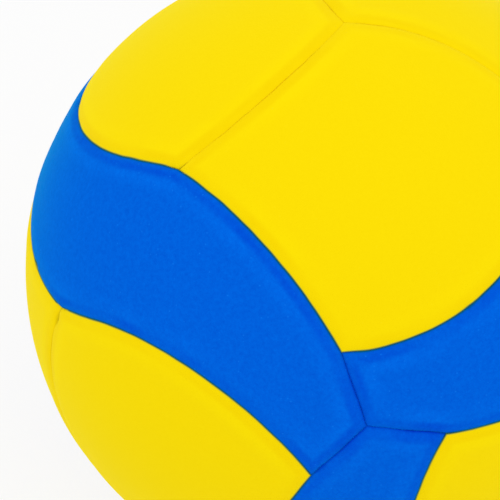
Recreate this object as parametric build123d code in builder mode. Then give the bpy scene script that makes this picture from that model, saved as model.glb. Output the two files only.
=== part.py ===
"""A machine-sewn foam volleyball: eighteen panels on an air bladder with its valve.

Six blue bands sit where the faces of a cube touch the ball. The cube's corners are blue and yellow in turn:
three blue bands meet at each blue corner and three yellow panels at each yellow one. Every seam is part of
a circle on the ball, so each panel is cut from the ball's wall by cones about the ball's centre, flat ones
where a seam is straight. The ball's centre is the origin, and one yellow corner points up.
"""

import os
from math import atan, atan2, cos, degrees, isclose, pi, radians, sin, sqrt

from build123d import *

# Panels, in millimetres
ball_girth = 660.0
foam_thickness = 4.0
seam_clearance = 0.24
edge_roll = 2.8
edge_dip = 1.1
roll_crest_share = 0.04
hem_depth = 2.5
hem_width = 2.4

# Sewing thread under the hems
thread_clearance = 0.1
thread_thickness = 0.5
thread_width = 1.6

# Bladder
bladder_clearance = 0.25
bladder_wall = 0.7

# Valve boot
flange_clearance = 0.1
flange_diameter = 28.0
neck_diameter = 9.0
neck_clearance = 0.2
neck_recess = 0.5
hole_roll = 0.8
tube_diameter = 11.0
tube_length = 11.0
tube_edge = 1.0

# Valve core, pressed into the boot
core_clearance = 0.05
core_diameter = 5.0
core_head_diameter = 6.6
core_head_height = 1.2
core_lip_height = 1.0
needle_bore_diameter = 2.0
needle_funnel_diameter = 3.6
needle_funnel_depth = 0.8
needle_seal = 1.5

# How far every cutter runs past what it cuts
overrun = 5.0

# Seam pattern of a blue band: how far a spot lies from the band's middle, and its bearing from the long
# direction, in degrees at the ball's centre. The edge runs straight from the waist to the side, a step on
shoulder_reach = 45.7
shoulder_bearing = 12.5
waist_reach = 13.8
waist_bearing = 116.2
side_step = 11.1
outer_curve_bulge = 2.9
yellow_seam_bulge = 3.2

# Angles of the cube inside the ball, in degrees
quarter_turn = 90
third_turn = 120
half_turn = 180
corner_reach = degrees(atan(sqrt(2)))
face_tilt = quarter_turn - corner_reach

# Radii that follow from the sizes above
ball_radius = ball_girth / (2 * pi)
foam_inner_radius = ball_radius - foam_thickness
hem_inner_radius = foam_inner_radius - hem_depth
thread_outer_radius = hem_inner_radius - thread_clearance
thread_inner_radius = thread_outer_radius - thread_thickness
bladder_radius = thread_inner_radius - bladder_clearance
bladder_inner_radius = bladder_radius - bladder_wall
flange_outer_radius = foam_inner_radius - flange_clearance
flange_inner_radius = bladder_radius + flange_clearance
half_seam = seam_clearance / 2
hole_radius = neck_diameter / 2 + neck_clearance

# Reach of the cutters
panel_cutter_radii = (bladder_inner_radius - overrun, ball_radius + overrun)
band_cutter_radii = (panel_cutter_radii[0] - overrun, panel_cutter_radii[1] + overrun)
cutter_reach = band_cutter_radii[1] + overrun
tip_down = (Align.CENTER, Align.CENTER, Align.MIN)


def spot(plane, reach, bearing):
    """The direction that lies reach degrees from a plane's normal, on a bearing from its x direction."""
    around = plane.x_dir * cos(radians(bearing)) + plane.y_dir * sin(radians(bearing))
    return plane.z_dir * cos(radians(reach)) + around * sin(radians(reach))


def turned(direction, axis, angle):
    """A direction turned about another one."""
    return direction.rotate(Axis((0, 0, 0), axis), angle)


def cone_seat(axis, spot_on_seam):
    """The plane that a seam's cone stands on, tip down, with its joint line away from the seam."""
    away = axis * axis.dot(spot_on_seam) - spot_on_seam
    return Plane(origin=(0, 0, 0), x_dir=away, z_dir=axis)


def bulging_seam(first, last, bulge):
    """Seat and half angle of the cone through two spots, whose seam swells to its right by a bulge."""
    left = first.cross(last).normalized()
    middle = (first + last).normalized() * cos(radians(bulge)) - left * sin(radians(bulge))
    axis = (middle - first).cross(last - middle).normalized()
    return cone_seat(axis, middle), axis.get_angle(middle)


def tangent_seam(first, pole, last):
    """Seat and half angle of the cone that leaves the straight seam about a pole and runs to a spot."""
    step = last - first
    half_angle = degrees(atan2(-first.dot(step), pole.dot(step)))
    axis = first * cos(radians(half_angle)) + pole * sin(radians(half_angle))
    return cone_seat(axis, first), half_angle


def straight_seam(first, last):
    """Seat and half angle of the flat cone through two spots, on the left of the way between them."""
    return cone_seat(first.cross(last).normalized(), (first + last).normalized()), quarter_turn


def seam_cut(seam, inset, roll, mode):
    """Cuts with a seam's cone, whose wall is moved inwards by an inset and rolls over at the ball's face."""
    seat, half_angle = seam
    section = Plane(origin=(0, 0, 0), x_dir=seat.x_dir, z_dir=seat.x_dir.cross(seat.z_dir))
    outwards = Vector(sin(radians(half_angle)), cos(radians(half_angle)))
    inwards = Vector(-outwards.Y, outwards.X)
    crest_radius = ball_radius + edge_dip * roll_crest_share
    crest = sqrt(crest_radius**2 - (inset + roll) ** 2)
    tip = Vector(0, inset / outwards.X)
    wall_end = outwards * (crest - edge_dip) + inwards * inset
    roll_end = outwards * crest + inwards * (inset + roll)
    far_end = outwards * cutter_reach + inwards * (inset + roll)
    with BuildSketch(section) as profile:
        with BuildLine():
            if roll:
                Line(tip, wall_end)
                TangentArc(roll_end, wall_end, tangent=inwards * -roll)
            else:
                Line(tip, roll_end)
            Polyline(roll_end, far_end, (far_end.X, cutter_reach), (0, cutter_reach), tip)
        make_face()
    revolve(profile.sketch, axis=Axis((0, 0, 0), seat.z_dir), mode=mode)


def keep_left(first, last):
    """Keeps what lies to the left of the great circle from one spot to another."""
    split(bisect_by=Plane(origin=(0, 0, 0), z_dir=first.cross(last)), keep=Keep.TOP)


def wall(plane, inner_radius, outer_radius):
    """A hollow ball, with its poles and its meridian line away from the panel on a plane's normal."""
    with Locations(Plane(origin=(0, 0, 0), x_dir=-plane.z_dir, z_dir=plane.y_dir)):
        Sphere(outer_radius)
        Sphere(inner_radius, mode=Mode.SUBTRACT)


# Spots and seams of the pattern, on the band that is drawn first
band_plane = Plane(origin=(0, 0, 0), x_dir=(0, 1, 0), z_dir=(-1, 0, 0))
band_middle = band_plane.z_dir
blue_corner = spot(band_plane, corner_reach, 0)
far_blue_corner = spot(band_plane, corner_reach, half_turn)
yellow_corner = spot(band_plane, corner_reach, quarter_turn)
shoulder = spot(band_plane, shoulder_reach, shoulder_bearing)
other_shoulder = turned(shoulder, blue_corner, third_turn)
waist = spot(band_plane, waist_reach, waist_bearing)
other_waist = spot(band_plane, waist_reach, waist_bearing + half_turn)
other_waist_pole = spot(band_plane, waist_reach + quarter_turn, waist_bearing + half_turn)
side = waist * cos(radians(side_step)) + waist.cross(band_middle).normalized() * sin(radians(side_step))
outer_curve = bulging_seam(shoulder, side, outer_curve_bulge)
inner_curve = tangent_seam(other_waist, other_waist_pole, other_shoulder)
yellow_seam = bulging_seam(side, yellow_corner, yellow_seam_bulge)

# The yellow panel on that band's left, which also touches the next band
next_band_middle = turned(band_middle, yellow_corner, -third_turn)
next_side = turned(side, yellow_corner, -third_turn)
next_yellow_seam = bulging_seam(next_side, yellow_corner, yellow_seam_bulge)
yellow_middle = yellow_corner + far_blue_corner
yellow_plane = Plane(origin=(0, 0, 0), x_dir=yellow_corner - far_blue_corner, z_dir=yellow_middle)


def band_cutter(inset, roll):
    """What a blue band cuts out of the ball, drawn in by an inset and rolled at the ball's face."""
    with BuildPart() as half:
        wall(band_plane, *band_cutter_radii)
        keep_left(waist, other_waist)
        seam_cut(straight_seam(side, waist), inset, roll, Mode.INTERSECT)
        seam_cut(straight_seam(blue_corner, shoulder), inset, roll, Mode.INTERSECT)
        seam_cut(straight_seam(other_shoulder, blue_corner), inset, roll, Mode.INTERSECT)
        seam_cut(outer_curve, inset, roll, Mode.INTERSECT)
        seam_cut(inner_curve, -inset, -roll, Mode.SUBTRACT)
    with BuildPart() as cutter:
        add(half.part)
        add(half.part.rotate(Axis((0, 0, 0), band_middle), half_turn))
    return cutter.part


def yellow_cutter(inset, roll):
    """What a yellow panel cuts out of the ball, drawn in by an inset and rolled at the ball's face."""
    band = band_cutter(-inset, -roll)
    next_band = band.rotate(Axis((0, 0, 0), yellow_corner), -third_turn)
    with BuildPart() as cutter:
        wall(yellow_plane, *panel_cutter_radii)
        keep_left(far_blue_corner, band_middle)
        keep_left(next_band_middle, far_blue_corner)
        seam_cut(yellow_seam, inset, roll, Mode.INTERSECT)
        seam_cut(next_yellow_seam, -inset, -roll, Mode.SUBTRACT)
        add(band, mode=Mode.SUBTRACT)
        add(next_band, mode=Mode.SUBTRACT)
    return cutter.part


def hemmed_panel(plane, cutter):
    """A panel with its hem turned in all round and its outer edge rolled over."""
    outline = cutter(half_seam, edge_roll)
    hem_outline = cutter(half_seam + hem_width, 0)
    with BuildPart() as hollow:
        wall(plane, hem_inner_radius - overrun, foam_inner_radius)
        add(hem_outline, mode=Mode.INTERSECT)
    with BuildPart() as panel:
        wall(plane, hem_inner_radius, ball_radius)
        add(outline, mode=Mode.INTERSECT)
        add(hollow.part, mode=Mode.SUBTRACT)
    return panel.part


def thread_row(plane, cutter):
    """The row of thread that runs round a panel under its hem."""
    outline = cutter(half_seam, 0)
    window = cutter(half_seam + thread_width, 0)
    with BuildPart() as row:
        wall(plane, thread_inner_radius, thread_outer_radius)
        add(outline, mode=Mode.INTERSECT)
        add(window, mode=Mode.SUBTRACT)
    return row.part


def placed(drawn, plane):
    """A copy of what is drawn on the first band, moved to another band's plane."""
    return plane.from_local_coords(band_plane.to_local_coords(drawn))


def both_ways(plane):
    """A band's plane as it is and turned half round, because a band looks the same from both its ends."""
    return plane, Plane(origin=plane.origin, x_dir=-plane.x_dir, z_dir=plane.z_dir)


def band_planes():
    """The planes of the six bands: three lie level above the equator, three stand upright below it."""
    ring = Plane.XY
    for azimuth in (90, 210, 330):
        yield Plane(
            origin=(0, 0, 0),
            x_dir=spot(ring, quarter_turn, azimuth + quarter_turn),
            z_dir=spot(ring, corner_reach, azimuth),
        )
    for azimuth in (270, 30, 150):
        yield Plane(
            origin=(0, 0, 0),
            x_dir=spot(ring, face_tilt, azimuth),
            z_dir=spot(ring, quarter_turn + face_tilt, azimuth),
        )


os.makedirs("parts", exist_ok=True)
planes = list(band_planes())
valve_plane = planes[0]
valve_axis = Axis((0, 0, 0), valve_plane.z_dir)
valve_section = Plane(origin=(0, 0, 0), x_dir=valve_plane.x_dir, z_dir=-valve_plane.y_dir)

# Foam panels: six blue bands, the first with the hole for the valve, and two yellow panels on each band
blue_drawn = hemmed_panel(band_plane, band_cutter)
yellow_drawn = hemmed_panel(yellow_plane, yellow_cutter)
for number, plane in enumerate(planes, start=1):
    with BuildPart() as blue_panel:
        add(placed(blue_drawn, plane))
        if plane is valve_plane:
            with Locations(plane):
                Cylinder(hole_radius, cutter_reach, align=tip_down, mode=Mode.SUBTRACT)
            rims = [rim for rim in edges().filter_by(GeomType.CIRCLE) if isclose(rim.radius, hole_radius)]
            fillet(ShapeList(rims).sort_by(valve_axis)[-1], hole_roll)
    blue_panel.part.label = f"blue_panel_{number}"
    export_step(blue_panel.part, f"parts/blue_panel_{number}.step")
    for end, end_plane in zip("ab", both_ways(plane)):
        with BuildPart() as yellow_panel:
            add(placed(yellow_drawn, end_plane))
        yellow_panel.part.label = f"yellow_panel_{number}{end}"
        export_step(yellow_panel.part, f"parts/yellow_panel_{number}{end}.step")

# Sewing thread: an overlocked row along the hem of each of the eighteen panels
band_thread = thread_row(band_plane, band_cutter)
yellow_thread = thread_row(yellow_plane, yellow_cutter)
with BuildPart() as seam_thread:
    for plane in planes:
        add(placed(band_thread, plane))
        for end_plane in both_ways(plane):
            add(placed(yellow_thread, end_plane))
seam_thread.part.label = "seam_thread"
export_step(seam_thread.part, "parts/seam_thread.step")

# Bladder, with the opening that the valve boot's tube passes
with BuildPart() as bladder:
    Sphere(bladder_radius)
    Sphere(bladder_inner_radius, mode=Mode.SUBTRACT)
    with Locations(valve_plane):
        Cylinder(tube_diameter / 2 + flange_clearance, ball_radius, align=tip_down, mode=Mode.SUBTRACT)
bladder.part.label = "bladder"
export_step(bladder.part, "parts/bladder.step")

# Valve boot: a flange on the bladder, a neck out to the panel's face and a tube into the bladder
neck_top = ball_radius - neck_recess
tube_bottom = bladder_radius - tube_length
flange_middle_radius = (flange_inner_radius + flange_outer_radius) / 2
head_seat = neck_top - core_head_height
with BuildPart() as valve_boot:
    with BuildSketch(valve_section):
        Circle(flange_outer_radius)
        Circle(flange_inner_radius, mode=Mode.SUBTRACT)
        Rectangle(flange_diameter / 2, ball_radius, align=Align.MIN, mode=Mode.INTERSECT)
        with Locations((0, tube_bottom)):
            Rectangle(tube_diameter / 2, flange_middle_radius - tube_bottom, align=Align.MIN)
            Rectangle(neck_diameter / 2, neck_top - tube_bottom, align=Align.MIN)
            Rectangle(core_diameter / 2 + core_clearance, ball_radius, align=Align.MIN, mode=Mode.SUBTRACT)
        with Locations((0, head_seat - core_clearance)):
            Rectangle(core_head_diameter / 2 + core_clearance, ball_radius, align=Align.MIN, mode=Mode.SUBTRACT)
    revolve(axis=valve_axis)
    chamfer(edges().filter_by(GeomType.CIRCLE).sort_by(valve_axis)[:2].sort_by(SortBy.RADIUS)[-1], tube_edge)
valve_boot.part.label = "valve_boot"
export_step(valve_boot.part, "parts/valve_boot.step")

# Valve core: a plug with a head, a lip below the tube and a needle bore that ends above a thin seal
lip_top = tube_bottom - core_clearance
core_bottom = lip_top - core_lip_height
bore_bottom = core_bottom + needle_seal
with BuildPart() as valve_core:
    with BuildSketch(valve_section):
        with BuildLine():
            Polyline(
                (0, core_bottom),
                (core_head_diameter / 2, core_bottom),
                (core_head_diameter / 2, lip_top),
                (core_diameter / 2, lip_top),
                (core_diameter / 2, head_seat),
                (core_head_diameter / 2, head_seat),
                (core_head_diameter / 2, neck_top),
                (needle_funnel_diameter / 2, neck_top),
                (needle_bore_diameter / 2, neck_top - needle_funnel_depth),
                (needle_bore_diameter / 2, bore_bottom),
                (0, bore_bottom),
                close=True,
            )
        make_face()
    revolve(axis=valve_axis)
valve_core.part.label = "valve_core"
export_step(valve_core.part, "parts/valve_core.step")
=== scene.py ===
"""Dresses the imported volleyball: foam panels with rolled edges, the valve, the pieces inside and a studio.

Every seam is part of a circle on the ball. A panel's pattern is drawn as rings that follow its outline
inwards, and a Geometry Nodes tree gives the pattern its rolled edges, puckers, thickness and hem.
"""

from math import acos, atan, atan2, cos, radians, sin, sqrt, tan
from typing import NamedTuple

import bpy
import numpy as np
from bpy.props import FloatProperty, FloatVectorProperty, IntProperty, PointerProperty
from mathutils import Matrix, Vector
from mathutils.geometry import delaunay_2d_cdt


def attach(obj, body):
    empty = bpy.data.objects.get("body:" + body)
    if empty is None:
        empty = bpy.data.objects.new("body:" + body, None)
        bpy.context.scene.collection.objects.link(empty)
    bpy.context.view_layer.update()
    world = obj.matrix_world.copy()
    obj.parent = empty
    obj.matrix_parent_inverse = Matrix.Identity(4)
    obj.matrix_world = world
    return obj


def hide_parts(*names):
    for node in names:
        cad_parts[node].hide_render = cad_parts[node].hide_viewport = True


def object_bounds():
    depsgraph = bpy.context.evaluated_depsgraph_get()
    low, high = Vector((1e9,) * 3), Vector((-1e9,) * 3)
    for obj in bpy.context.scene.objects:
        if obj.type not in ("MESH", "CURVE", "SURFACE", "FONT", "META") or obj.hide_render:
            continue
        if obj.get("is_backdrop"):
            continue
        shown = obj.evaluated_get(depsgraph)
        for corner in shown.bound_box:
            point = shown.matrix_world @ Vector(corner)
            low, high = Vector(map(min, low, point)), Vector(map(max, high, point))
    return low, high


bl_info = {
    "name": "Sewn Foam Volleyball",
    "version": (1, 0, 0),
    "blender": (4, 5, 0),
    "location": "3D View > Sidebar > Ball",
    "description": "Builds the panels, valve and studio of a sewn foam volleyball around its packed frame",
    "category": "Add Mesh",
}

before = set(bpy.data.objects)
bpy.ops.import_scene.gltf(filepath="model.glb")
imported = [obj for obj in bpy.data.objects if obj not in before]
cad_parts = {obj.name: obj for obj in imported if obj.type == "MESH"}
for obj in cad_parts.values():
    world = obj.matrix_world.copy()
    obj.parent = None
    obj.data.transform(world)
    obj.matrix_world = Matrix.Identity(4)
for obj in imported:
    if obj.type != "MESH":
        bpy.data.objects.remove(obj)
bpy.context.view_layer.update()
BODY = "root"
MM = 0.001

QUARTER_TURN = radians(90)
THIRD_TURN = radians(120)
HALF_TURN = radians(180)
FULL_TURN = radians(360)

# Angles of the cube inside the ball: from a face's middle to a corner, and what is left to a quarter turn
CORNER_REACH = atan(sqrt(2))
FACE_TILT = QUARTER_TURN - CORNER_REACH

# Bearings from +X of the three bands above the equator and of the three below it, in degrees
UPPER_BEARINGS = (90, 210, 330)
LOWER_BEARINGS = (270, 30, 150)

# A direction that no panel's middle points in
ASKEW = (0.3, 0.5, 0.8)

# How strong the painted shade in a seam's line is between panels of two colours, two blue panels and two
# yellow ones. Panels carry it as line_strength, which also tells these kinds of seam apart.
TWO_COLOUR_LINE = 1.0
BLUE_LINE = 0.6
YELLOW_LINE = 0.03

# Depth of a seam between two yellow panels and between two colours, as a share of one between blue panels
YELLOW_DEPTH = 0.5
TWO_COLOUR_DEPTH = 0.5

# How many points each way a seam's line takes to change at a corner
LINE_CHANGE = 2

# How a pattern's points are spaced: rings crowd towards an edge by a power
RING_CROWDING = 1.7
HOLE_CROWDING = 1.5
HOLE_RINGS = 7
HOLE_POINTS = 56
HOLE_REACH_IN_ROLLS = 3
LEAST_SEAM_POINTS = 4
CLEARANCE_IN_STEPS = 0.6
MERGE_DISTANCE = 1e-9

# Rows of a triangular grid lie this share of its step apart
ROW_SHARE = sin(radians(60))

# The face carries 0 and the back 1, so a wall between them carries this mean, give or take a margin
WALL_BACK = 0.5
WALL_MARGIN = 0.25

# Middle of a noise's range
NOISE_MIDDLE = 0.5

# Where seams gape: the levels of noise between which one opens, its seed, how strong the line's painted
# shade is there and by how many of its widths it is wider
GAPE_LEVELS = (0.68, 0.75)
GAPE_SEED = 58.0
GAPE_LINE = 0.4
GAPE_WIDENING = 2.0

# Seed of the pulls that both panels beside a seam share, and seeds of yellow panels from band to band
STRAY_SEED = 4.0
SEEDS_PER_BAND = 10

# Along a seam, its line's painted shade and the painted shade and highlight beside its hem fade to a least
# share between these levels of noise
LINE_LEVELS = (0.38, 0.6)
LEAST_LINE = 0.4
HEM_LEVELS = (0.36, 0.62)
LEAST_HEM = 0.15

# A lit strip is painted where a ridge beside the seam would catch light, though the shape has no ridge: it
# comes up between these levels of noise and takes a share of the groove's painted shade
LIT_RIDGE_LEVELS = (0.44, 0.54)
LIT_RIDGE_SHARE = 0.6

# Where the ridge's painted light, the groove's painted shade and the bead's painted highlight start to fade
# and end, in hem widths from the seam
LIT_RIDGE_ENDS = (0.4, 0.9)
GROOVE_SHADE_ENDS = (1.0, 1.9)
BEAD_LIGHT_ENDS = (2.2, 4.0)

# The hem's inner edge is this much softer than a step, as a share of the hem's width
HEM_SOFT_SHARE = 0.4

# Foam skin: levels of noise from bare skin to a full patch, where a speck fades and ends in its cell, the
# share of cells without one, the dents' size in pores and their share of the grain's height
PATCH_LEVELS = (0.32, 0.68)
SPECK_ENDS = (0.05, 0.13)
EMPTY_CELLS = 0.5
DENT_SIZE_IN_PORES = 4.0
DENT_SHARE = 0.5

# Roughness from bare skin to a full patch, and of rubber, which its bloom makes duller
FOAM_ROUGHNESS = (0.6, 0.75)
THREAD_ROUGHNESS = (0.6, 0.8)
RUBBER_ROUGHNESS = {"valve_boot": 0.55, "valve_core": 0.45, "bladder": 0.6}
BLOOM_DULLING = 0.15
SHEEN_ROUGHNESS = 0.4
FLOOR_ROUGHNESS = 0.9

# Rubber's specular level, and the size of its grain as a share of the foam's
RUBBER_GLOSS = 0.4
RUBBER_GRAIN_SHARE = 0.5

# Strength of each material's bumps
FOAM_BUMP = 0.5
RUBBER_BUMP = 0.4
THREAD_BUMP = 0.6

# The wave texture's scale for plies of length one, and how far it bends them
PLY_SCALE = 0.2
PLY_BEND = 2.0

# A Mix node's sockets for colours, which share their names with those for numbers
MIX_COLOURS = (6, 7)
MIX_RESULT = 2

WHITE = (1.0, 1.0, 1.0, 1.0)

# Stage, in ball radii
FLOOR_REACH = 60
LAMP_DISTANCE = 9
LAMP_SIZE = 6
VIEW_DEPTH = 200


def farthest(node):
    """How far a CAD node reaches from the ball's centre, in millimetres."""
    return max(vertex.co.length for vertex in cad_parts[node].data.vertices) / MM


def nearest(node):
    """How close a CAD node comes to the ball's centre, in millimetres."""
    return min(vertex.co.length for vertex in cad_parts[node].data.vertices) / MM


# Settings

def length(name, description, size):
    """Property of a length, given in millimetres."""
    return FloatProperty(name=name, description=description, default=size * MM, unit="LENGTH")


def angle(name, description, size):
    """Property of an angle, given in degrees."""
    return FloatProperty(name=name, description=description, default=radians(size), subtype="ANGLE")


def colour(name, description, *channels):
    """Property of a colour, given as red, green and blue."""
    return FloatVectorProperty(
        name=name, description=description, default=channels, subtype="COLOR", min=0, max=1)


def share(name, description, size):
    """Property of a share from 0 to 1."""
    return FloatProperty(name=name, description=description, default=size, subtype="FACTOR", min=0, max=1)


def radii(name, description, size):
    """Property of a distance, given in ball radii."""
    return FloatProperty(name=name, description=f"{description}, in ball radii", default=size)


def power(name, description, size):
    """Property of a lamp's power, given in watts."""
    return FloatProperty(name=name, description=description, default=size, unit="POWER")


class FoamSizes(bpy.types.PropertyGroup):
    """Sizes of the foam panels"""

    ball_radius: length("Ball radius", "From the ball's centre to a panel's face", farthest("blue_panel_2"))
    hem_radius: length("Hem radius", "From the ball's centre to a hem's bottom", nearest("blue_panel_2"))
    foam_thickness: length("Foam thickness", "Thickness of a panel", 4.0)
    hem_width: length("Hem width", "Width of the turned-in edge", 2.4)
    seam_gap: length("Seam gap", "Gap between two panels at the bottom of a seam", 0.01)
    edge_roll: length("Edge roll", "Width of the edge that rolls down to a seam", 2.8)
    edge_dip: length("Edge dip", "Depth of a seam under the ball's face", 1.1)
    bead_height: length("Bead height", "How far the foam swells over its hem", 0.22)
    bead_place: length("Bead place", "From the seam to the top of that swelling", 6.0)
    bead_spread: length("Bead spread", "Half width of that swelling", 3.2)
    pucker_depth: length("Pucker depth", "Depth of the small puckers along a seam", 0.4)
    pucker_length: length("Pucker length", "Length of one pucker", 9.0)
    pucker_reach: length("Pucker reach", "How far the puckers run from a seam", 5.0)
    stray: length("Seam stray", "How far the stitches pull a seam aside", 0.65)
    stray_length: length("Stray length", "Distance along a seam between such pulls", 8.0)
    gape_depth: length("Gape depth", "How much deeper a seam is where it gapes", 0.7)
    gape_length: length("Gape length", "Size of the places where a seam gapes", 14.0)
    gape_reach: length("Gape reach", "Half width of a gaping seam", 1.2)
    wave_height: length("Wave height", "Height of the foam's slow unevenness", 0.3)
    wave_length: length("Wave length", "Length of that unevenness", 45.0)
    valve_hole_radius: length("Valve hole radius", "Hole in the band that the valve's neck fills", 4.7)
    valve_hole_roll: length("Valve hole roll", "Width of the hole's rounded rim", 0.8)
    mesh_step: length("Mesh step", "Distance between points along a seam", 1.6)
    fill_step: length("Fill step", "Distance between points inside a panel", 3.2)
    ring_reach: length("Ring reach", "From the seam to the innermost ring of points", 9.0)
    ring_count: IntProperty(
        name="Rings", description="Rings of points between a seam and a panel's inside", default=12, min=4)


class SeamPattern(bpy.types.PropertyGroup):
    """Angles of a blue band's outline, seen from the ball's centre"""

    shoulder_reach: angle("Shoulder reach", "From the band's middle to its shoulder", 45.7)
    shoulder_bearing: angle("Shoulder bearing", "Bearing of the shoulder from the long direction", 12.5)
    waist_reach: angle("Waist reach", "From the band's middle to its waist", 13.8)
    waist_bearing: angle("Waist bearing", "Bearing of the waist from the long direction", 116.2)
    side_step: angle("Side step", "Straight edge from the waist to the side", 11.1)
    outer_bulge: angle("Outer bulge", "Swell of the outer curve", 2.9)
    yellow_bulge: angle("Yellow bulge", "Swell of the seam between two yellow panels", 3.2)


class Finishes(bpy.types.PropertyGroup):
    """Colours and grain of the ball's materials"""

    blue: colour("Blue", "Blue foam", 0.0003, 0.1376, 0.784)
    # Painted highlight on the bead beside a hem
    blue_swell: colour("Swollen blue", "Blue foam on the bead beside a hem", 0.0005, 0.158, 0.842)
    # Painted shade in the groove where a hem pulls the foam down
    blue_pressed: colour("Pressed blue", "Blue foam where a hem pulls it down", 0.0003, 0.0976, 0.74)
    blue_patch: colour("Blue patches", "What the blue foam's patches let through", 1.0, 0.71, 0.86)
    blue_fleck: colour("Blue fleck", "Pale specks in the blue foam", 0.008, 0.21, 0.9)
    # Painted shade in the gap at a seam's bottom, on a blue seam and on a seam to yellow foam
    blue_line: colour("Blue seam line", "Blue foam at the bottom of a blue seam", 0.0, 0.0, 0.48)
    blue_join: colour("Blue join", "Blue foam at the bottom of a seam to yellow foam", 0.0, 0.1, 0.17)
    blue_sheen: colour("Blue sheen", "Tint of the blue foam's sheen", 0.0, 0.9, 0.5)
    yellow: colour("Yellow", "Yellow foam", 0.97, 0.74, 0.001)
    # Painted highlight on the bead beside a hem
    yellow_swell: colour("Swollen yellow", "Yellow foam on the bead beside a hem", 0.983, 0.763, 0.001)
    # Painted shade in the groove where a hem pulls the foam down
    yellow_pressed: colour("Pressed yellow", "Yellow foam where a hem pulls it down", 0.95, 0.7, 0.0005)
    yellow_patch: colour("Yellow patches", "What the yellow foam's patches let through", 0.988, 0.974, 1.0)
    yellow_fleck: colour("Yellow fleck", "Pale specks in the yellow foam", 0.975, 0.76, 0.006)
    # Painted shade in the gap at a seam's bottom, on a yellow seam and on a seam to blue foam
    yellow_line: colour("Yellow seam line", "Yellow foam at the bottom of a yellow seam", 0.32, 0.28, 0.005)
    yellow_join: colour("Yellow join", "Yellow foam at the bottom of a seam to blue foam", 0.02, 0.15, 0.08)
    yellow_sheen: colour("Yellow sheen", "Tint of the yellow foam's sheen", 1.0, 0.95, 0.06)
    blue_sheen_share: share("Blue sheen strength", "Strength of the blue foam's sheen", 0.29)
    yellow_sheen_share: share("Yellow sheen strength", "Strength of the yellow foam's sheen", 0.42)
    blue_gloss: share("Blue gloss", "Specular level of the blue foam", 0.004)
    yellow_gloss: share("Yellow gloss", "Specular level of the yellow foam", 0.015)
    fleck: share("Flecks", "Strength of the foam's specks", 0.5)
    rubber: colour("Rubber", "Rubber of the valve and the bladder", 0.018, 0.018, 0.019)
    rubber_bloom: colour("Rubber bloom", "Pale bloom on the rubber", 0.05, 0.05, 0.052)
    thread: colour("Thread", "Sewing thread", 0.72, 0.72, 0.68)
    thread_shade: colour("Thread shade", "Between the thread's plies", 0.43, 0.43, 0.41)
    grain_size: length("Grain size", "Size of the foam skin's pores", 0.7)
    patch_size: length("Patch size", "Size of the foam's colour patches", 1.3)
    fleck_size: length("Fleck size", "Distance between the foam's specks", 2.4)
    # Widths of the painted shade at a seam's bottom
    blue_line_width: length("Blue line width", "Width of a seam's line on a blue panel", 0.68)
    yellow_line_width: length("Yellow line width", "Width of a seam's line on a yellow panel", 0.62)
    change_length: length("Change length", "Distance over which a seam's colours come and go", 18.0)
    ply_length: length("Ply length", "Distance between the thread's plies", 1.1)
    pore_depth: length("Pore depth", "Depth of the foam skin's pores", 0.12)
    rubber_pore_depth: length("Rubber pore depth", "Depth of the rubber's grain", 0.05)
    ply_depth: length("Ply depth", "Depth between the thread's plies", 0.1)


class Studio(bpy.types.PropertyGroup):
    """Camera and light"""

    azimuth: angle("Azimuth", "Camera's bearing from -Y, towards +X", -1.64)
    elevation: angle("Elevation", "Camera's height angle", 44.48)
    roll: angle("Roll", "Camera's turn about its own axis", -1.317)
    field_of_view: angle("Field of view", "Across the picture", 15.18)
    distance: radii("Distance", "From the camera to the ball's centre plane", 6.04)
    aim_right: radii("Aim right", "Picture's middle beside the ball's centre", -0.2843)
    aim_up: radii("Aim up", "Picture's middle above the ball's centre", 0.0628)
    world_strength: FloatProperty(
        name="World strength", description="Light from all round", default=0.915, min=0)
    key_power: power("Key power", "Large soft lamp above, on the right", 0.8)
    key_azimuth: angle("Key azimuth", "Bearing of that lamp", 50)
    key_elevation: angle("Key elevation", "Height angle of that lamp", 60)
    fill_power: power("Fill power", "Large soft lamp in front, on the left", 0.25)
    fill_azimuth: angle("Fill azimuth", "Bearing of that lamp", -35)
    fill_elevation: angle("Fill elevation", "Height angle of that lamp", 55)
    rim_power: power("Rim power", "Large soft lamp beside the ball, on the left", 0.35)
    rim_azimuth: angle("Rim azimuth", "Bearing of that lamp", -100)
    rim_elevation: angle("Rim elevation", "Height angle of that lamp", 25)
    floor: colour("Floor", "Floor", 0.9, 0.9, 0.9)
    floor_white: share("Floor white", "How much of the floor's shade the camera sees as white", 0.82)


class BallSettings(bpy.types.PropertyGroup):
    """All settings of the ball"""

    sizes: PointerProperty(type=FoamSizes)
    pattern: PointerProperty(type=SeamPattern)
    finishes: PointerProperty(type=Finishes)
    studio: PointerProperty(type=Studio)


# Seam pattern

def unit(vector):
    """A vector of length one."""
    return vector / np.linalg.norm(vector)


def spot(axes, reach, bearing):
    """The direction that lies a reach from the third axis, on a bearing from the first."""
    around = axes[0] * cos(bearing) + axes[1] * sin(bearing)
    return axes[2] * cos(reach) + around * sin(reach)


def turn_about(axis, turn):
    """The rotation about an axis through the ball's centre."""
    return np.array(Matrix.Rotation(turn, 3, Vector(axis)))


class Seam(NamedTuple):
    """A circle on the ball, and the side of it that a panel lies on: 1 inside the circle, -1 outside."""

    axis: np.ndarray
    half_angle: float
    side: int

    def other_side(self):
        """The same seam for the panel across it."""
        return self._replace(side=-self.side)

    def moved(self, turn):
        """The seam turned about the ball's centre."""
        return self._replace(axis=turn @ self.axis)

    def drawn_in(self, inset):
        """The seam moved into its panel by an angle."""
        return self._replace(half_angle=self.half_angle - self.side * inset)

    def sweep(self, first, last):
        """Directions from the axis to a first spot and on along the seam, and the turn to a last spot."""
        across = unit(first - self.axis * (self.axis @ first))
        along = np.cross(self.axis, across) * self.side
        return across, along, atan2(last @ along, last @ across) % FULL_TURN


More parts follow.
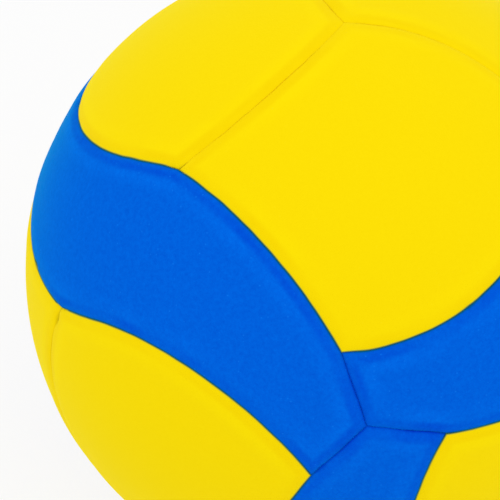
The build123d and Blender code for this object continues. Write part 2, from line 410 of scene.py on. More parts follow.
def straight_seam(first, last):
    """The great circle through two spots, with the panel on the left."""
    return Seam(unit(np.cross(first, last)), QUARTER_TURN, 1)


def bulging_seam(first, last, bulge):
    """The circle through two spots that swells to its right, with the panel on the left."""
    left = unit(np.cross(first, last))
    middle = unit(first + last) * cos(bulge) - left * sin(bulge)
    axis = unit(np.cross(middle - first, last - middle))
    return Seam(axis, acos(axis @ middle), 1)


def tangent_seam(first, pole, last):
    """The circle that leaves the straight seam about a pole and runs to a spot, with the panel outside."""
    step = last - first
    half_angle = atan2(-(first @ step), pole @ step)
    return Seam(first * cos(half_angle) + pole * sin(half_angle), half_angle, -1)


def panel_axes(long_way, middle):
    """Long direction, cross direction and middle of a band."""
    return np.array((long_way, np.cross(middle, long_way), middle))


DRAWN_AXES = panel_axes((0.0, 1.0, 0.0), (-1.0, 0.0, 0.0))


def band_places():
    """Axes of the six bands: three lie level above the equator, three stand upright below it."""
    level = np.eye(3)
    for azimuth in UPPER_BEARINGS:
        long_way = spot(level, QUARTER_TURN, radians(azimuth) + QUARTER_TURN)
        yield panel_axes(long_way, spot(level, CORNER_REACH, radians(azimuth)))
    for azimuth in LOWER_BEARINGS:
        long_way = spot(level, FACE_TILT, radians(azimuth))
        yield panel_axes(long_way, spot(level, QUARTER_TURN + FACE_TILT, radians(azimuth)))


class Outline(NamedTuple):
    """A panel's corners, seams and strengths of seam lines, with the panel on the left, and its middle."""

    corners: list
    seams: list
    lines: list
    middle: np.ndarray


def outlines(pattern):
    """Outlines of the blue band that is drawn first and of the yellow panel on its left."""
    middle = DRAWN_AXES[2]
    blue_corner = spot(DRAWN_AXES, CORNER_REACH, 0)
    yellow_corner = spot(DRAWN_AXES, CORNER_REACH, QUARTER_TURN)
    far_blue_corner = spot(DRAWN_AXES, CORNER_REACH, HALF_TURN)
    half_turn = turn_about(middle, HALF_TURN)
    next_band = turn_about(yellow_corner, -THIRD_TURN)

    shoulder = spot(DRAWN_AXES, pattern.shoulder_reach, pattern.shoulder_bearing)
    other_shoulder = turn_about(blue_corner, THIRD_TURN) @ shoulder
    waist = spot(DRAWN_AXES, pattern.waist_reach, pattern.waist_bearing)
    other_waist = half_turn @ waist
    other_pole = spot(DRAWN_AXES, pattern.waist_reach + QUARTER_TURN, pattern.waist_bearing + HALF_TURN)
    step_way = unit(np.cross(waist, middle))
    side = waist * cos(pattern.side_step) + step_way * sin(pattern.side_step)

    inner_curve = tangent_seam(other_waist, other_pole, other_shoulder)
    outer_curve = bulging_seam(shoulder, side, pattern.outer_bulge)
    straight = straight_seam(side, waist)
    yellow_seam = bulging_seam(side, yellow_corner, pattern.yellow_bulge)

    corners = [other_waist, other_shoulder, blue_corner, shoulder, side]
    seams = [
        inner_curve,
        straight_seam(other_shoulder, blue_corner),
        straight_seam(blue_corner, shoulder),
        outer_curve,
        straight,
    ]
    lines = [TWO_COLOUR_LINE, BLUE_LINE, BLUE_LINE, TWO_COLOUR_LINE, TWO_COLOUR_LINE]
    blue = Outline(
        corners + [half_turn @ corner for corner in corners],
        seams + [seam.moved(half_turn) for seam in seams],
        lines * 2,
        middle,
    )
    yellow = Outline(
        [half_turn @ other_shoulder, waist, side, yellow_corner, next_band @ side],
        [
            inner_curve.moved(half_turn).other_side(),
            straight.other_side(),
            yellow_seam,
            yellow_seam.moved(next_band).other_side(),
            outer_curve.moved(next_band).other_side(),
        ],
        [TWO_COLOUR_LINE, TWO_COLOUR_LINE, YELLOW_LINE, YELLOW_LINE, TWO_COLOUR_LINE],
        unit(yellow_corner + far_blue_corner),
    )
    return blue, yellow


def crossing(first, second, near):
    """Where two circles on the ball cross, at the crossing next to a spot."""
    dot = first.axis @ second.axis
    square = 1 - dot * dot
    first_share = (cos(first.half_angle) - dot * cos(second.half_angle)) / square
    second_share = (cos(second.half_angle) - dot * cos(first.half_angle)) / square
    base = first_share * first.axis + second_share * second.axis
    rise = sqrt(max(0.0, (1 - base @ base) / square)) * np.cross(first.axis, second.axis)
    return max(unit(base + rise), unit(base - rise), key=lambda end: end @ near)


def seam_counts(outline, step):
    """How many points each seam of an outline gets."""
    counts = []
    for k, seam in enumerate(outline.seams):
        _, _, sweep = seam.sweep(outline.corners[k], outline.corners[(k + 1) % len(outline.corners)])
        counts.append(max(LEAST_SEAM_POINTS, round(sweep * sin(seam.half_angle) / step)))
    return counts


def outline_ring(outline, counts, inset):
    """Points along an outline that is drawn in by an angle, the same number on each seam at every inset."""
    seams = [seam.drawn_in(inset) for seam in outline.seams]
    ends = [crossing(seams[k - 1], seams[k], corner) for k, corner in enumerate(outline.corners)]
    points = []
    for k, seam in enumerate(seams):
        across, along, sweep = seam.sweep(ends[k], ends[(k + 1) % len(ends)])
        for turn in sweep * np.arange(counts[k]) / counts[k]:
            around = across * cos(turn) + along * sin(turn)
            points.append(seam.axis * cos(seam.half_angle) + around * sin(seam.half_angle))
    return np.array(points)


def softened(values):
    """Values round a closed ring, each the mean of its neighbours."""
    steps = range(-LINE_CHANGE, LINE_CHANGE + 1)
    return np.mean([np.roll(values, step) for step in steps], axis=0)


def flat_axes(middle):
    """Two directions square to a panel's middle."""
    across = unit(np.cross(middle, ASKEW))
    return across, np.cross(middle, across)


def flattened(points, middle):
    """Points of the ball on an equal-area map about a panel's middle."""
    across, up = flat_axes(middle)
    scale = np.sqrt(2 / (1 + points @ middle))
    return np.stack((points @ across * scale, points @ up * scale), axis=1)


def raised(flat, middle):
    """Points of that map back on the ball."""
    square = (flat**2).sum(axis=1)
    scale = np.sqrt(1 - square / 4)
    return np.outer(1 - square / 2, middle) + (flat * scale[:, None]) @ np.array(flat_axes(middle))


def distance_inside(points, loop):
    """Distance of flat points to a loop, negative outside it."""
    start, end = loop, np.roll(loop, -1, axis=0)
    way = end - start
    offset = points[:, None] - start[None]
    along = np.clip((offset * way).sum(axis=2) / (way**2).sum(axis=1), 0, 1)
    gap = np.linalg.norm(offset - along[..., None] * way, axis=2).min(axis=1)
    height = points[:, None, 1]
    above = (start[:, 1] > height) != (end[:, 1] > height)
    slope = way[:, 0] / np.where(way[:, 1] == 0, np.inf, way[:, 1])
    crossing_x = start[:, 0] + (height - start[:, 1]) * slope
    inside = (above & (points[:, None, 0] < crossing_x)).sum(axis=1) % 2 == 1
    return np.where(inside, gap, -gap)


class PanelPattern:
    """A panel's face on the unit ball: its points with their distances to the edges and to the hem and the
    strength of the nearest seam's line, its faces, and the loops of points at its edges."""

    def __init__(self, outline, sizes, with_hole=False):
        radius, count = sizes.ball_radius, sizes.ring_count
        counts = seam_counts(outline, sizes.mesh_step / radius)
        insets = (np.arange(count) / (count - 1)) ** RING_CROWDING * sizes.ring_reach
        rings = [outline_ring(outline, counts, (sizes.seam_gap / 2 + inset) / radius) for inset in insets]
        points = len(rings[0])
        self.points = np.concatenate(rings)
        self.distance = np.repeat(insets, points)
        self.hem = self.distance
        self.line = np.tile(softened(np.repeat(outline.lines, counts)), count)
        self.faces = []
        self.loops = [np.arange(points)]
        self.add_ring_faces(0, points, count, inwards=1)
        inner_loops = [np.arange(points) + (count - 1) * points]
        if with_hole:
            inner_loops.append(self.add_hole(outline.middle, sizes))
        self.fill(inner_loops, outline.middle, sizes)
        self.line = np.concatenate([self.line, np.full(len(self.points) - len(self.line), BLUE_LINE)])

    def add_ring_faces(self, base, points, count, inwards):
        """Four-sided faces between neighbouring rings."""
        for near in range(base, base + (count - 1) * points, points):
            far = near + points
            for k in range(points):
                after = (k + 1) % points
                self.faces.append((near + k, near + after, far + after, far + k)[::inwards])

    def add_hole(self, middle, sizes):
        """Rings round the valve's hole, with stretched distances, so that its rim is as deep as a seam."""
        reach = sizes.valve_hole_roll * HOLE_REACH_IN_ROLLS
        steps = (np.arange(HOLE_RINGS) / (HOLE_RINGS - 1)) ** HOLE_CROWDING * reach
        way = np.arange(HOLE_POINTS) / HOLE_POINTS * FULL_TURN
        around = np.stack((np.cos(way), np.sin(way)), axis=1) @ np.array(flat_axes(middle))
        angles = (sizes.valve_hole_radius + steps) / sizes.ball_radius
        rings = [middle * cos(turn) + around * sin(turn) for turn in angles]
        base = len(self.points)
        self.points = np.concatenate([self.points, *rings])
        rim = steps * sizes.edge_roll / sizes.valve_hole_roll
        self.distance = np.concatenate([self.distance, np.repeat(rim, HOLE_POINTS)])
        self.hem = np.concatenate([self.hem, np.full(HOLE_RINGS * HOLE_POINTS, sizes.ring_reach)])
        self.add_ring_faces(base, HOLE_POINTS, HOLE_RINGS, inwards=-1)
        self.loops.append(np.arange(HOLE_POINTS)[::-1] + base)
        return np.arange(HOLE_POINTS) + base + (HOLE_RINGS - 1) * HOLE_POINTS

    def fill(self, loops, middle, sizes):
        """Triangles inside the innermost rings."""
        step = sizes.fill_step / sizes.ball_radius
        flat_loops = [flattened(self.points[loop], middle) for loop in loops]
        low, high = flat_loops[0].min(axis=0), flat_loops[0].max(axis=0)
        rows = np.arange(low[1], high[1], step * ROW_SHARE)
        columns = np.arange(low[0], high[0], step)
        grid = np.array([(x + row % 2 * step / 2, y) for row, y in enumerate(rows) for x in columns])
        clear = distance_inside(grid, flat_loops[0])
        keep = clear > CLEARANCE_IN_STEPS * step
        for loop in flat_loops[1:]:
            keep &= distance_inside(grid, loop) < -CLEARANCE_IN_STEPS * step
        grid, clear = grid[keep], clear[keep]
        edges, first = [], 0
        for loop in loops:
            edges += [(first + k, first + (k + 1) % len(loop)) for k in range(len(loop))]
            first += len(loop)
        flat_points = [Vector(point) for point in np.concatenate([*flat_loops, grid]).tolist()]
        _, _, faces, origins, _, _ = delaunay_2d_cdt(flat_points, edges, [], 1, MERGE_DISTANCE)
        index = np.concatenate([*loops, np.arange(len(grid)) + len(self.points)])
        self.points = np.concatenate([self.points, raised(grid, middle)])
        inside = sizes.ring_reach + clear * sizes.ball_radius
        self.distance = np.concatenate([self.distance, inside])
        self.hem = np.concatenate([self.hem, inside])
        holes = {int(point) for loop in loops[1:] for point in loop}
        for face in faces:
            corners = tuple(int(index[origins[corner][0]]) for corner in face)
            if not holes.issuperset(corners):
                self.faces.append(corners)

    def closed_mesh(self, name, place, radius):
        """A closed mesh of the panel's face, its back and the walls between them, turned to its place."""
        points = self.points @ place.T * radius
        count = len(points)
        faces = self.faces + [tuple(corner + count for corner in face[::-1]) for face in self.faces]
        for loop in self.loops:
            for here, there in zip(loop.tolist(), np.roll(loop, -1).tolist()):
                faces.append((here, here + count, there + count, there))
        mesh = bpy.data.meshes.new(name)
        mesh.from_pydata(np.concatenate([points, points]).tolist(), [], faces)
        carried = {
            "seam_distance": np.tile(self.distance, 2),
            "hem_distance": np.tile(self.hem, 2),
            "line_strength": np.tile(self.line, 2),
            "back": np.repeat((0.0, 1.0), count),
        }
        for label, values in carried.items():
            attribute = mesh.attributes.new(label, "FLOAT", "POINT")
            attribute.data.foreach_set("value", values.astype(np.float32))
        return mesh


# Nodes

def wire(tree, value, socket):
    """Links an output to an input, or sets the input's own value."""
    if isinstance(value, Number):
        value = value.socket
    if isinstance(value, bpy.types.NodeSocket):
        tree.links.new(value, socket)
    else:
        socket.default_value = value


def add_node(tree, kind, inputs, **settings):
    """A new node with its settings, and with its inputs linked or set by name or place."""
    node = tree.nodes.new(kind)
    for name, value in settings.items():
        setattr(node, name, value)
    for name, value in inputs.items():
        wire(tree, value, node.inputs[name])
    return node


class Number:
    """A number from a socket to reckon with: each sum adds a Math node to its tree."""

    def __init__(self, tree, socket):
        self.tree = tree
        self.socket = socket

    def math(self, operation, *others):
        """The result of a Math node on this number and others."""
        node = add_node(self.tree, "ShaderNodeMath", dict(enumerate((self, *others))), operation=operation)
        return Number(self.tree, node.outputs[0])

    def __add__(self, other):
        return self.math("ADD", other)

    def __sub__(self, other):
        return self.math("SUBTRACT", other)

    def __mul__(self, other):
        return self.math("MULTIPLY", other)

    def __truediv__(self, other):
        return self.math("DIVIDE", other)

    def bell(self):
        """One at zero, falling off smoothly on both sides."""
        return (self * self * -1.0).math("EXPONENT")

    def ranged(self, low, high, bottom=0.0, top=1.0, kind="LINEAR"):
        """From a bottom to a top while this number goes from low to high, and no further."""
        inputs = {"Value": self, "From Min": low, "From Max": high, "To Min": bottom, "To Max": top}
        node = add_node(self.tree, "ShaderNodeMapRange", inputs, interpolation_type=kind)
        return Number(self.tree, node.outputs[0])


def vector_math(tree, operation, inputs):
    """The result of a Vector Math node."""
    return add_node(tree, "ShaderNodeVectorMath", inputs, operation=operation).outputs[0]


def noise(tree, place, size, detail, seed=0.0, roughness=0.5):
    """Smooth noise from 0 to 1 in patches of a size, as a number and as a vector of three."""
    inputs = {
        "Vector": vector_math(tree, "DIVIDE", {0: place, 1: size}),
        "W": seed,
        "Scale": 1.0,
        "Detail": detail,
        "Roughness": roughness,
    }
    node = add_node(tree, "ShaderNodeTexNoise", inputs, noise_dimensions="4D")
    return Number(tree, node.outputs["Fac"]), node.outputs["Color"]


# Foam panels

FOAM_INPUTS = (
    "ball_radius", "hem_radius", "foam_thickness", "hem_width", "edge_roll", "edge_dip",
    "bead_height", "bead_place", "bead_spread", "pucker_depth", "pucker_length", "pucker_reach",
    "stray", "stray_length", "gape_depth", "gape_length", "gape_reach", "wave_height", "wave_length",
)


def foam_tree():
    """The tree that gives a panel's pattern its rolled edges, bead, puckers, thickness and hem."""
    name = "Foam panel"
    if name in bpy.data.node_groups:
        return bpy.data.node_groups[name]
    tree = bpy.data.node_groups.new(name, "GeometryNodeTree")
    tree.interface.new_socket("Geometry", in_out="INPUT", socket_type="NodeSocketGeometry")
    for size in (*FOAM_INPUTS, "seed"):
        tree.interface.new_socket(size, in_out="INPUT", socket_type="NodeSocketFloat")
    tree.interface.new_socket("material", in_out="INPUT", socket_type="NodeSocketMaterial")
    tree.interface.new_socket("Geometry", in_out="OUTPUT", socket_type="NodeSocketGeometry")
    given = tree.nodes.new("NodeGroupInput").outputs
    sizes = {size: Number(tree, given[size]) for size in FOAM_INPUTS}
    position = tree.nodes.new("GeometryNodeInputPosition").outputs[0]

    def carried(label):
        """What the pattern carries at each point."""
        node = add_node(tree, "GeometryNodeInputNamedAttribute", {"Name": label}, data_type="FLOAT")
        return Number(tree, node.outputs["Attribute"])

    def uneven(size, detail):
        """Ups and downs of this panel alone."""
        level, _ = noise(tree, position, sizes[size], detail, given["seed"])
        return level - NOISE_MIDDLE

    distance, hem_distance = carried("seam_distance"), carried("hem_distance")
    kind = carried("line_strength")
    depth = kind.ranged(YELLOW_LINE, BLUE_LINE, YELLOW_DEPTH, 1.0)
    depth = depth * kind.ranged(BLUE_LINE, TWO_COLOUR_LINE, 1.0, TWO_COLOUR_DEPTH)
    roll, dip = sizes["edge_roll"], sizes["edge_dip"] * depth
    roll_radius = (roll * roll + dip * dip) / (dip * 2.0)
    short = (roll - distance).math("MAXIMUM", 0.0)
    rolled = (roll_radius * roll_radius - short * short).math("SQRT") - roll_radius
    bead = ((distance - sizes["bead_place"]) / sizes["bead_spread"]).bell() * sizes["bead_height"]
    fade = (distance / sizes["pucker_reach"] * -1.0).math("EXPONENT")
    pucker = uneven("pucker_length", detail=2.0) * sizes["pucker_depth"] * fade
    wave = uneven("wave_length", detail=1.0) * sizes["wave_height"]
    gaping, _ = noise(tree, position, sizes["gape_length"], detail=0.0, seed=GAPE_SEED)
    gaping = gaping.ranged(*GAPE_LEVELS, kind="SMOOTHSTEP")
    gape = gaping * (hem_distance / sizes["gape_reach"]).bell() * sizes["gape_depth"]
    face_radius = sizes["ball_radius"] + rolled + bead + pucker + wave - gape

    hem_edge = sizes["hem_width"] * (1.0 + HEM_SOFT_SHARE)
    past_hem = hem_distance.ranged(sizes["hem_width"], hem_edge, kind="SMOOTHSTEP")
    hem_depth = sizes["ball_radius"] - sizes["foam_thickness"] - sizes["hem_radius"]
    back_radius = sizes["hem_radius"] + past_hem * hem_depth
    radius = face_radius + (back_radius - face_radius) * carried("back")

    _, pull = noise(tree, position, sizes["stray_length"], detail=1.0, seed=STRAY_SEED)
    aside = vector_math(tree, "SUBTRACT", {0: pull, 1: (NOISE_MIDDLE,) * 3})
    near = (hem_distance / sizes["pucker_reach"] * -1.0).math("EXPONENT")
    aside = vector_math(tree, "SCALE", {0: aside, "Scale": sizes["stray"] * near})
    outwards = vector_math(tree, "NORMALIZE", {0: vector_math(tree, "ADD", {0: position, 1: aside})})
    place = vector_math(tree, "SCALE", {0: outwards, "Scale": radius})

    kept = {"Geometry": given["Geometry"], "Name": "gaping", "Value": gaping}
    stored = add_node(tree, "GeometryNodeStoreNamedAttribute", kept, data_type="FLOAT", domain="POINT")
    shaped = add_node(tree, "GeometryNodeSetPosition", {"Geometry": stored.outputs[0], "Position": place})
    skin_or_back = (carried("back") - WALL_BACK).math("ABSOLUTE").math("GREATER_THAN", WALL_MARGIN)
    rounded = {"Geometry": shaped.outputs[0], "Selection": skin_or_back}
    smooth = add_node(tree, "GeometryNodeSetShadeSmooth", rounded)
    real = add_node(tree, "GeometryNodeRealizeInstances", {"Geometry": smooth.outputs[0]})
    skin = {"Geometry": real.outputs[0], "Material": given["material"]}
    finished = add_node(tree, "GeometryNodeSetMaterial", skin)
    add_node(tree, "NodeGroupOutput", {0: finished.outputs[0]})
    return tree


def socket_id(tree, name):
    """Identifier of a tree's input."""
    sockets = tree.interface.items_tree
    return next(item.identifier for item in sockets if item.name == name and item.in_out == "INPUT")


def foam_panel(node, mesh, material, sizes, seed):
    """Turns a pattern into a finished panel that stands for a CAD node."""
    piece = bpy.data.objects.new(f"{node}_foam", mesh)
    bpy.context.scene.collection.objects.link(piece)
    tree = foam_tree()
    modifier = piece.modifiers.new("Foam panel", "NODES")
    modifier.node_group = tree
    for name in FOAM_INPUTS:
        modifier[socket_id(tree, name)] = getattr(sizes, name)
    modifier[socket_id(tree, "seed")] = float(seed)
    modifier[socket_id(tree, "material")] = material
    depsgraph = bpy.context.evaluated_depsgraph_get()
    made = bpy.data.meshes.new_from_object(
        piece.evaluated_get(depsgraph), preserve_all_data_layers=True, depsgraph=depsgraph)
    piece.modifiers.clear()
    piece.data = made
    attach(piece, BODY)
    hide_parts(node)


# Materials

def new_material(name):
    """A material with its node tree and its Principled shader."""
    material = bpy.data.materials.new(name)
    material.use_nodes = True
    return material, material.node_tree, material.node_tree.nodes["Principled BSDF"]


def shader_group(name, inputs, outputs):
    """A shader group with named inputs and outputs, and the sockets of its two ends."""
    tree = bpy.data.node_groups.new(name, "ShaderNodeTree")
    for in_out, sockets in (("INPUT", inputs), ("OUTPUT", outputs)):
        for socket in sockets:
            tree.interface.new_socket(socket, in_out=in_out, socket_type="NodeSocketFloat")
    return tree, tree.nodes.new("NodeGroupInput").outputs, tree.nodes.new("NodeGroupOutput").inputs


def object_place(tree):
    """Object coordinates, which are the same on every piece of the ball."""
    return tree.nodes.new("ShaderNodeTexCoord").outputs["Object"]


def grain_group():
    """Shader group of the skin's patches, specks and pores, on Object coordinates."""
    name = "Skin grain"
    if name in bpy.data.node_groups:
        return bpy.data.node_groups[name]
    sizes = ("Grain size", "Patch size", "Fleck size")
    tree, given, result = shader_group(name, sizes, ("Patch", "Fleck", "Height"))
    place = object_place(tree)
    patch, _ = noise(tree, place, given["Patch size"], detail=5.0, roughness=0.78)
    wire(tree, patch.ranged(*PATCH_LEVELS), result["Patch"])

    in_cells = vector_math(tree, "DIVIDE", {0: place, 1: given["Fleck size"]})
    cells = add_node(tree, "ShaderNodeTexVoronoi", {"Vector": in_cells, "Scale": 1.0})
    speck = Number(tree, cells.outputs["Distance"]).ranged(*SPECK_ENDS, 1.0, 0.0)
    chance = add_node(tree, "ShaderNodeSeparateColor", {0: cells.outputs["Color"]}).outputs[0]
    rare = Number(tree, chance).math("GREATER_THAN", EMPTY_CELLS)
    wire(tree, speck * rare, result["Fleck"])

    pores, _ = noise(tree, place, given["Grain size"], detail=3.0, roughness=0.6)
    dents, _ = noise(tree, place, Number(tree, given["Grain size"]) * DENT_SIZE_IN_PORES, detail=2.0)
    wire(tree, pores * (1.0 - DENT_SHARE) + dents * DENT_SHARE, result["Height"])
    return tree


def edge_group():
    """Shader group of masks of painted light beside a seam, from what each panel carries: shade in the line
    at its bottom, whether it joins two colours, shade in the groove over the hem that a lit strip lifts
    beside the seam, and a highlight on the bead. A line between two colours is steady, and the rest comes and
    goes along the seam."""
    name = "Seam edge"
    if name in bpy.data.node_groups:
        return bpy.data.node_groups[name]
    sizes = ("Hem width", "Line width", "Change length")
    tree, given, result = shader_group(name, sizes, ("Line", "Join", "Pressed", "Swell"))

    def carried(label):
        """What the panel carries at each point."""
        node = add_node(tree, "ShaderNodeAttribute", {}, attribute_name=label)
        return Number(tree, node.outputs["Fac"])

    def falling(first, last):
        """One beside the seam, and nothing from the last distance on."""
        return distance.ranged(first, last, 1.0, 0.0, kind="SMOOTHSTEP")

    def beside(ends):
        """The same with distances in hem widths."""
        return falling(*(hem * end for end in ends))

    distance, gaping = carried("seam_distance"), carried("gaping")
    kind = carried("line_strength")
    hem, line_width = Number(tree, given["Hem width"]), Number(tree, given["Line width"])
    change, changes = noise(tree, object_place(tree), given["Change length"], detail=2.0)
    lit_ridge_noise = Number(tree, add_node(tree, "ShaderNodeSeparateColor", {0: changes}).outputs[1])
    # Painted shade in the gap at the seam's bottom, wider and stronger where the seam gapes and steady
    # between two colours
    line = falling(0.0, line_width + line_width * gaping * GAPE_WIDENING)
    join = kind.ranged(BLUE_LINE, TWO_COLOUR_LINE)
    steady = change.ranged(*LINE_LEVELS, LEAST_LINE).math("MAXIMUM", join)
    strength = kind * steady + gaping * GAPE_LINE
    wire(tree, line * strength.math("MINIMUM", 1.0), result["Line"])
    wire(tree, join, result["Join"])
    come_and_go = change.ranged(*HEM_LEVELS, LEAST_HEM)
    # Painted shade in the groove over the hem, coming and going along the seam
    pressed = beside(GROOVE_SHADE_ENDS)
    # A painted lit strip for a ridge beside the seam takes away a share of that shade
    lit_ridge = beside(LIT_RIDGE_ENDS) * lit_ridge_noise.ranged(*LIT_RIDGE_LEVELS, 0.0, -LIT_RIDGE_SHARE)
    wire(tree, pressed * come_and_go * (lit_ridge + 1.0), result["Pressed"])
    # Painted highlight on the bead past the groove
    swell = beside(BEAD_LIGHT_ENDS) - pressed
    wire(tree, (swell * come_and_go).math("MAXIMUM", 0.0), result["Swell"])
    return tree


def group_node(tree, group, inputs):
    """Outputs of a shader group that is placed in a material with its own values."""
    return add_node(tree, "ShaderNodeGroup", inputs, node_tree=group).outputs


def grain_node(tree, grain_size, finishes):
    """Outputs of the grain group with pores of a size."""
    sizes = {"Grain size": grain_size, "Patch size": finishes.patch_size, "Fleck size": finishes.fleck_size}
    return group_node(tree, grain_group(), sizes)


def mixed(tree, factor, first, second, blend_type="MIX"):
    """A colour between two others, or the first one tinted by the second."""
    node = add_node(tree, "ShaderNodeMix", {}, data_type="RGBA", blend_type=blend_type)
    wire(tree, factor, node.inputs["Factor"])
    for value, socket in zip((first, second), MIX_COLOURS):
        paint = value if isinstance(value, bpy.types.NodeSocket) else (*value, 1.0)
        wire(tree, paint, node.inputs[socket])
    return node.outputs[MIX_RESULT]


def bumped(tree, shader, height, depth, strength):
    """Gives a shader a bump from a height."""
    bump = add_node(tree, "ShaderNodeBump", {"Strength": strength, "Distance": depth, "Height": height})
    wire(tree, bump.outputs[0], shader.inputs["Normal"])


def foam_material(tone, finishes, sizes):
    """Soft matte foam skin with patches, pale specks and fine pores, with painted shade at each seam's bottom
    and in the groove over its hem, and a painted highlight on the bead beyond.
    """
    material, tree, shader = new_material(f"{tone}_foam")

    def paint(kind):
        """One of this foam's colours."""
        return tuple(getattr(finishes, f"{tone}_{kind}"))

    grain = grain_node(tree, finishes.grain_size, finishes)
    edge = group_node(tree, edge_group(), {
        "Hem width": sizes.hem_width,
        "Line width": getattr(finishes, f"{tone}_line_width"),
        "Change length": finishes.change_length,
    })
    # Painted highlight on the bead beside the hem
    skin = mixed(tree, edge["Swell"], tuple(getattr(finishes, tone)), paint("swell"))
    # Painted shade in the groove over the hem
    skin = mixed(tree, edge["Pressed"], skin, paint("pressed"))
    skin = mixed(tree, grain["Patch"], skin, paint("patch"), "MULTIPLY")
    skin = mixed(tree, Number(tree, grain["Fleck"]) * finishes.fleck, skin, paint("fleck"))
    # Painted shade at the seam's bottom, in the join colours between blue and yellow
    line = mixed(tree, edge["Join"], paint("line"), paint("join"))
    skin = mixed(tree, edge["Line"], skin, line)
    wire(tree, skin, shader.inputs["Base Color"])
    wire(tree, Number(tree, grain["Patch"]).ranged(0.0, 1.0, *FOAM_ROUGHNESS), shader.inputs["Roughness"])
    shader.inputs["Specular IOR Level"].default_value = getattr(finishes, f"{tone}_gloss")
    shader.inputs["Sheen Weight"].default_value = getattr(finishes, f"{tone}_sheen_share")
    shader.inputs["Sheen Roughness"].default_value = SHEEN_ROUGHNESS
    shader.inputs["Sheen Tint"].default_value = (*paint("sheen"), 1.0)
    bumped(tree, shader, grain["Height"], finishes.pore_depth, FOAM_BUMP)
    return material


def rubber_material(node, finishes):
    """Dull black rubber of a CAD node, with a fine grain and a little bloom."""
    material, tree, shader = new_material(f"{node}_rubber")
    roughness = RUBBER_ROUGHNESS[node]
    grain = grain_node(tree, finishes.grain_size * RUBBER_GRAIN_SHARE, finishes)
    bloom = mixed(tree, grain["Patch"], tuple(finishes.rubber), tuple(finishes.rubber_bloom))
    wire(tree, bloom, shader.inputs["Base Color"])
    dull = Number(tree, grain["Patch"]).ranged(0.0, 1.0, roughness, roughness + BLOOM_DULLING)
    wire(tree, dull, shader.inputs["Roughness"])
    shader.inputs["Specular IOR Level"].default_value = RUBBER_GLOSS
    bumped(tree, shader, grain["Height"], finishes.rubber_pore_depth, RUBBER_BUMP)
    return material


def thread_material(name, finishes):
    """Twisted sewing thread: slanted plies on Object coordinates, with painted shade between the plies."""
    material, tree, shader = new_material(name)
    grain = grain_node(tree, finishes.grain_size, finishes)
    scale = PLY_SCALE / finishes.ply_length
    inputs = {"Vector": object_place(tree), "Scale": scale, "Distortion": PLY_BEND}
    plies = add_node(tree, "ShaderNodeTexWave", inputs, bands_direction="DIAGONAL").outputs["Fac"]
    paint = mixed(tree, plies, tuple(finishes.thread_shade), tuple(finishes.thread))
    wire(tree, paint, shader.inputs["Base Color"])
    wire(tree, Number(tree, grain["Patch"]).ranged(0.0, 1.0, *THREAD_ROUGHNESS), shader.inputs["Roughness"])
    bumped(tree, shader, plies, finishes.ply_depth, THREAD_BUMP)
    return material


def dress(node, material):
    """Gives a CAD node its finish."""
    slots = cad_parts[node].data.materials
    slots.clear()
    slots.append(material)


# Operators

class BALL_OT_blue_panels(bpy.types.Operator):
    """Sews the six blue bands, the first with the valve's hole"""

    bl_idname = "ball.blue_panels"
    bl_label = "Blue panels"

    def execute(self, context):
        ball = context.scene.ball
        outline, _ = outlines(ball.pattern)
        plain = PanelPattern(outline, ball.sizes)
        pierced = PanelPattern(outline, ball.sizes, with_hole=True)
        material = foam_material("blue", ball.finishes, ball.sizes)
        for number, axes in enumerate(band_places(), start=1):
            node = f"blue_panel_{number}"
            pattern = pierced if number == 1 else plain
            mesh = pattern.closed_mesh(node, axes.T @ DRAWN_AXES, ball.sizes.ball_radius)
            foam_panel(node, mesh, material, ball.sizes, number)
        return {"FINISHED"}


class BALL_OT_yellow_panels(bpy.types.Operator):
    """Sews the twelve yellow panels, two beside each blue band"""

    bl_idname = "ball.yellow_panels"
    bl_label = "Yellow panels"

    def execute(self, context):
        ball = context.scene.ball
        _, outline = outlines(ball.pattern)
        pattern = PanelPattern(outline, ball.sizes)
        material = foam_material("yellow", ball.finishes, ball.sizes)
        turned_round = np.diag((-1.0, -1.0, 1.0))
        for number, axes in enumerate(band_places(), start=1):
            for end, seated in (("a", axes), ("b", turned_round @ axes)):
                node = f"yellow_panel_{number}{end}"
                mesh = pattern.closed_mesh(node, seated.T @ DRAWN_AXES, ball.sizes.ball_radius)
                seed = SEEDS_PER_BAND * number + ord(end)
                foam_panel(node, mesh, material, ball.sizes, seed)
        return {"FINISHED"}


class BALL_OT_valve(bpy.types.Operator):
    """Finishes the valve's boot and core"""

    bl_idname = "ball.valve"
    bl_label = "Valve"

    def execute(self, context):
        finishes = context.scene.ball.finishes
        for node in ("valve_boot", "valve_core"):
            dress(node, rubber_material(node, finishes))
        return {"FINISHED"}


class BALL_OT_inside(bpy.types.Operator):
    """Finishes the bladder and the sewing thread"""

    bl_idname = "ball.inside"
    bl_label = "Bladder and thread"

    def execute(self, context):
        finishes = context.scene.ball.finishes
        dress("bladder", rubber_material("bladder", finishes))
        dress("seam_thread", thread_material("thread", finishes))
        return {"FINISHED"}


def seen_white(tree, shader, strength):
    """A shader that the camera, mirrors and glass see as white, and that lights the ball as it is."""
    path = tree.nodes.new("ShaderNodeLightPath").outputs
    seen = Number(tree, path["Is Camera Ray"]).math("MAXIMUM", path["Is Glossy Ray"])
    seen = seen.math("MAXIMUM", path["Is Transmission Ray"]) * strength
    white = add_node(tree, "ShaderNodeEmission", {"Color": WHITE}).outputs[0]
    return add_node(tree, "ShaderNodeMixShader", {0: seen, 1: shader, 2: white}).outputs[0]


def way_to(azimuth, elevation):
    """The direction to what stands on a bearing from -Y, towards +X, at a height angle."""
    return Vector((sin(azimuth) * cos(elevation), -cos(azimuth) * cos(elevation), sin(elevation)))


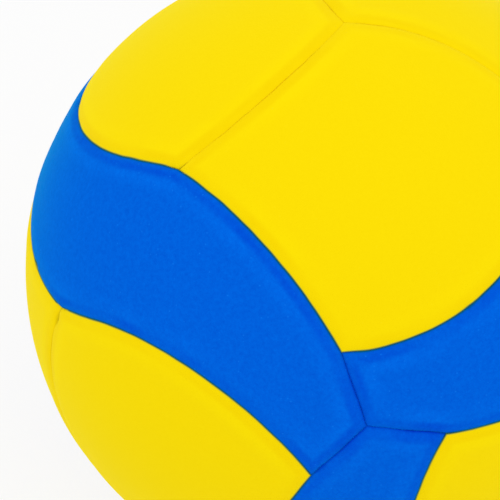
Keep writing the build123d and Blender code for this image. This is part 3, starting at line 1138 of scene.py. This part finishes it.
class BALL_OT_studio(bpy.types.Operator):
    """Sets up the floor, the light and the camera"""

    bl_idname = "ball.studio"
    bl_label = "Studio"

    def execute(self, context):
        scene = context.scene
        studio, radius = scene.ball.studio, scene.ball.sizes.ball_radius
        self.add_floor(scene, studio, radius)
        self.add_world(scene, studio)
        for lamp in ("key", "fill", "rim"):
            self.add_lamp(scene, lamp, studio, radius)
        self.add_camera(scene, studio, radius)
        scene.view_settings.view_transform = "Standard"
        return {"FINISHED"}

    def add_floor(self, scene, studio, radius):
        """A pale floor under the ball's lowest point. It keeps the ball's shadow."""
        half = radius * FLOOR_REACH
        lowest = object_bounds()[0][2]
        corners = [(-half, -half), (half, -half), (half, half), (-half, half)]
        mesh = bpy.data.meshes.new("floor")
        mesh.from_pydata([(x, y, lowest) for x, y in corners], [], [(0, 1, 2, 3)])
        floor = bpy.data.objects.new("floor", mesh)
        scene.collection.objects.link(floor)
        material, tree, shader = new_material("floor_white")
        shader.inputs["Base Color"].default_value = (*studio.floor, 1.0)
        shader.inputs["Roughness"].default_value = FLOOR_ROUGHNESS
        shader.inputs["Specular IOR Level"].default_value = 0.0
        surface = tree.nodes["Material Output"].inputs["Surface"]
        wire(tree, seen_white(tree, shader.outputs[0], studio.floor_white), surface)
        mesh.materials.append(material)
        floor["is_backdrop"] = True

    def add_world(self, scene, studio):
        """White light from all round."""
        world = bpy.data.worlds.new("studio")
        world.use_nodes = True
        scene.world = world
        tree = world.node_tree
        background = tree.nodes["Background"]
        background.inputs["Color"].default_value = WHITE
        background.inputs["Strength"].default_value = studio.world_strength
        surface = tree.nodes["World Output"].inputs["Surface"]
        wire(tree, seen_white(tree, background.outputs[0], 1.0), surface)

    def add_lamp(self, scene, name, studio, radius):
        """A large square lamp that faces the ball's centre."""
        data = bpy.data.lights.new(name, "AREA")
        data.energy = getattr(studio, f"{name}_power")
        data.size = radius * LAMP_SIZE
        lamp = bpy.data.objects.new(name, data)
        way = way_to(getattr(studio, f"{name}_azimuth"), getattr(studio, f"{name}_elevation"))
        lamp.location = way * radius * LAMP_DISTANCE
        lamp.rotation_euler = way.to_track_quat("Z", "Y").to_euler()
        scene.collection.objects.link(lamp)

    def add_camera(self, scene, studio, radius):
        """The photograph's view."""
        data = bpy.data.cameras.new("camera")
        data.lens = data.sensor_width / 2 / tan(studio.field_of_view / 2)
        data.clip_end = radius * VIEW_DEPTH
        camera = bpy.data.objects.new("camera", data)
        scene.collection.objects.link(camera)
        level = way_to(studio.azimuth, studio.elevation).to_track_quat("Z", "Y").to_matrix()
        turn = level @ Matrix.Rotation(studio.roll, 3, "Z")
        place = turn @ Vector((studio.aim_right, studio.aim_up, studio.distance)) * radius
        camera.matrix_world = Matrix.Translation(place) @ turn.to_4x4()
        scene.camera = camera


class BALL_PT_sidebar(bpy.types.Panel):
    """The ball's pieces and settings"""

    bl_idname = "BALL_PT_sidebar"
    bl_label = "Sewn foam volleyball"
    bl_space_type = "VIEW_3D"
    bl_region_type = "UI"
    bl_category = "Ball"

    def draw(self, context):
        for operator in OPERATORS:
            self.layout.operator(operator.bl_idname)
        for group in BallSettings.__annotations__:
            settings = getattr(context.scene.ball, group)
            box = self.layout.box()
            box.label(text=group.capitalize())
            for name in settings.__annotations__:
                box.prop(settings, name)


OPERATORS = (BALL_OT_blue_panels, BALL_OT_yellow_panels, BALL_OT_valve, BALL_OT_inside, BALL_OT_studio)
CLASSES = (FoamSizes, SeamPattern, Finishes, Studio, BallSettings, *OPERATORS, BALL_PT_sidebar)


def register():
    """Registers the classes and the scene's settings."""
    for cls in CLASSES:
        bpy.utils.register_class(cls)
    bpy.types.Scene.ball = PointerProperty(type=BallSettings)


def unregister():
    """Takes the settings and the classes out again."""
    del bpy.types.Scene.ball
    for cls in reversed(CLASSES):
        bpy.utils.unregister_class(cls)


def main():
    """Builds the ball."""
    register()
    bpy.ops.ball.blue_panels()
    bpy.ops.ball.yellow_panels()
    bpy.ops.ball.valve()
    bpy.ops.ball.inside()
    bpy.ops.ball.studio()


if __name__ == "__main__":
    main()
